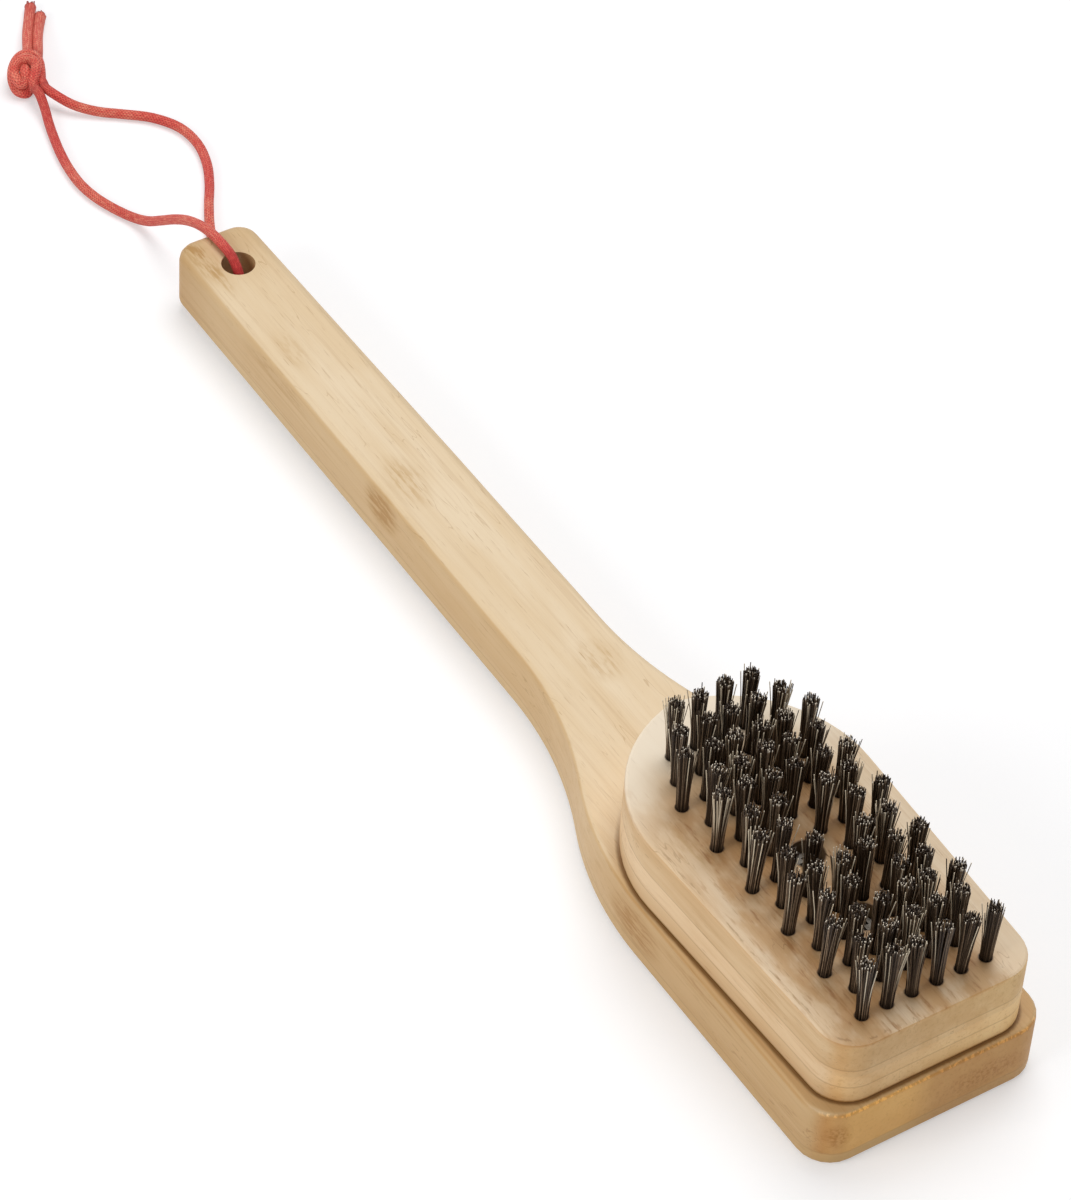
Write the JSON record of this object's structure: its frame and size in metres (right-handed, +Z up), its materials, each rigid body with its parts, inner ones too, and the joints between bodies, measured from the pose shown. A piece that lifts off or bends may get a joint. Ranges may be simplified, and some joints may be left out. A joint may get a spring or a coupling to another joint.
{
  "type": "grill brush",
  "caption": "Long-handled bamboo grill brush lying on its back, with staggered tufts of steel wire in a block on its paddle and a red cord loop through the handle's end.",
  "frame": {"origin": "on the floor, under the middle of the wood's box, without the cord", "axes": "+X towards the paddle's front, -X towards the handle's end, Y across the brush, +Z up, the way the wires point"},
  "size_m": [0.6366, 0.088, 0.0791],
  "materials": {
    "board_wood": "smooth sanded bamboo, satin",
    "block_wood": "smooth sanded bamboo, satin",
    "tuft_wire": "dark drawn wire with bright cut tips",
    "fastener_steel": "plain steel",
    "cord": "finely braided, slightly glossy"
  },
  "bodies": {
    "root": {"handle_board": "board_wood", "brush_block": "block_wood", "block_screws": "fastener_steel", "tuft_anchors": "fastener_steel", "tuft_row_1": "tuft_wire", "tuft_row_2": "tuft_wire", "tuft_row_3": "tuft_wire", "tuft_row_4": "tuft_wire", "tuft_row_5": "tuft_wire", "tuft_row_6": "tuft_wire", "tuft_row_7": "tuft_wire", "tuft_row_8": "tuft_wire", "tuft_row_9": "tuft_wire", "tuft_row_10": "tuft_wire", "tuft_row_11": "tuft_wire", "tuft_row_12": "tuft_wire", "tuft_row_13": "tuft_wire", "hang_cord": "cord", "cord_knot": "cord", "cord_tails": "cord"}
  },
  "joints": []
}
